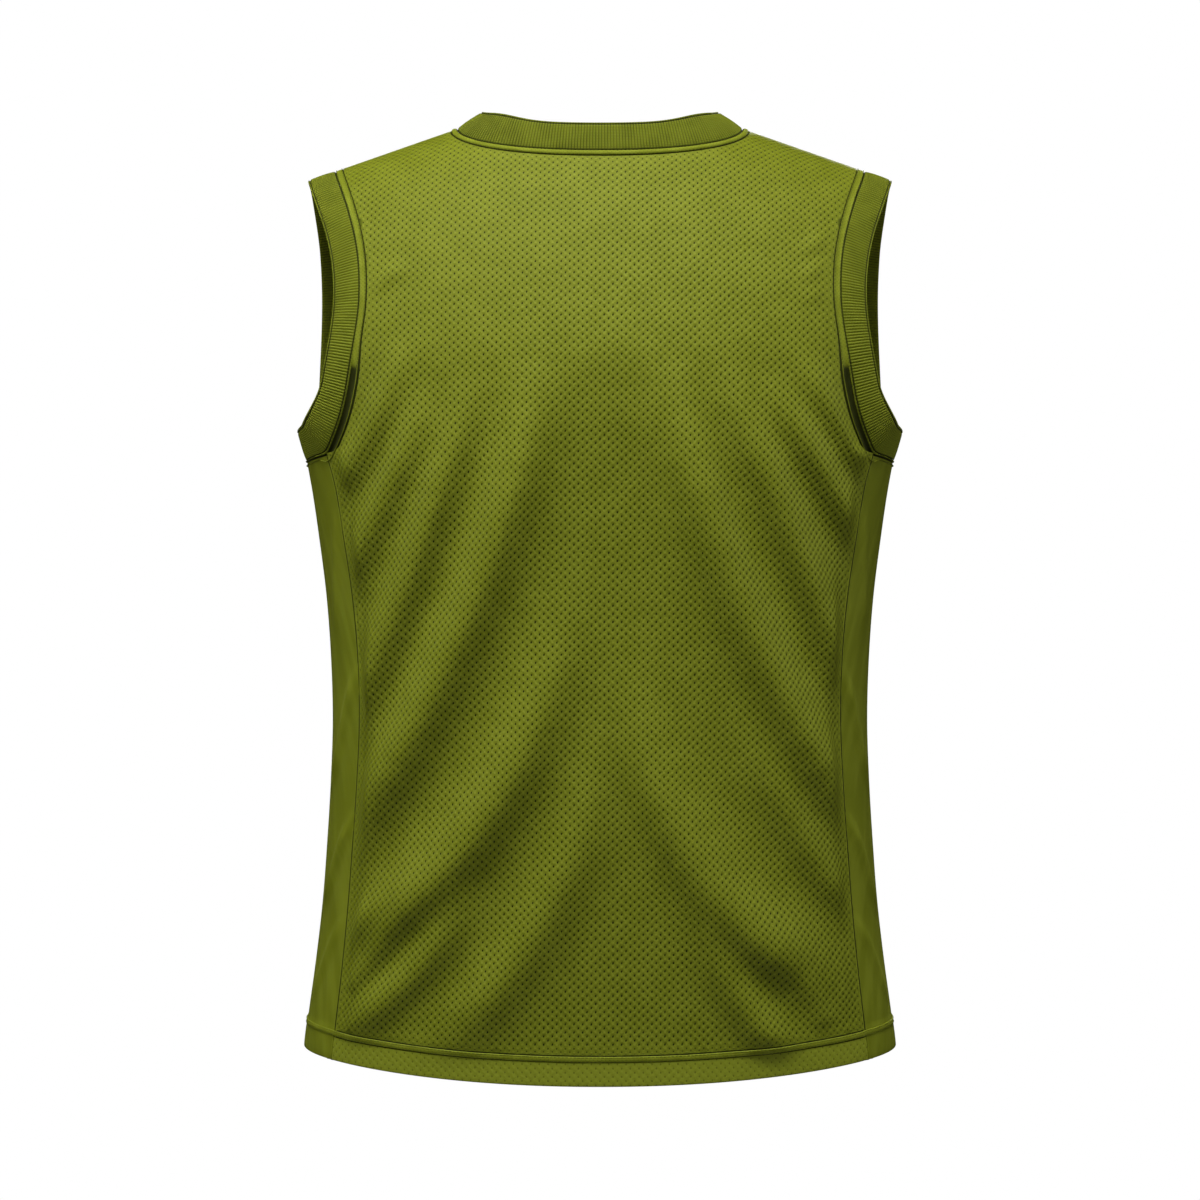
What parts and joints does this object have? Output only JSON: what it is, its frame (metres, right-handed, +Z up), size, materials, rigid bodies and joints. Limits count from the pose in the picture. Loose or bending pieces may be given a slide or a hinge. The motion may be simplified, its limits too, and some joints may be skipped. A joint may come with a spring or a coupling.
{
  "type": "sleeveless jersey",
  "caption": "Sleeveless mesh sports jersey, filled out as if worn: hollow shell with ribbed collar, ribbed armhole bands, smooth side panels and a curved turned hem.",
  "frame": {"origin": "midway between the two places where the shoulder seams reach the collar, where the wearer's shoulders hold the garment up", "axes": "+Z up, +Y out of the garment's back, +X to the wearer's left; the front faces -Y"},
  "size_m": [0.4646, 0.255, 0.7378],
  "materials": {
    "mesh": "olive green polyester eyelet mesh, soft sheen",
    "side_knit": "smooth olive green polyester knit, satin",
    "rib": "olive green rib knit, matt"
  },
  "bodies": {
    "root": {"back_panel": "mesh", "front_panel": "mesh", "side_panel_left": "side_knit", "side_panel_right": "side_knit", "collar": "rib", "armband_left": "rib", "armband_right": "rib"}
  },
  "joints": []
}
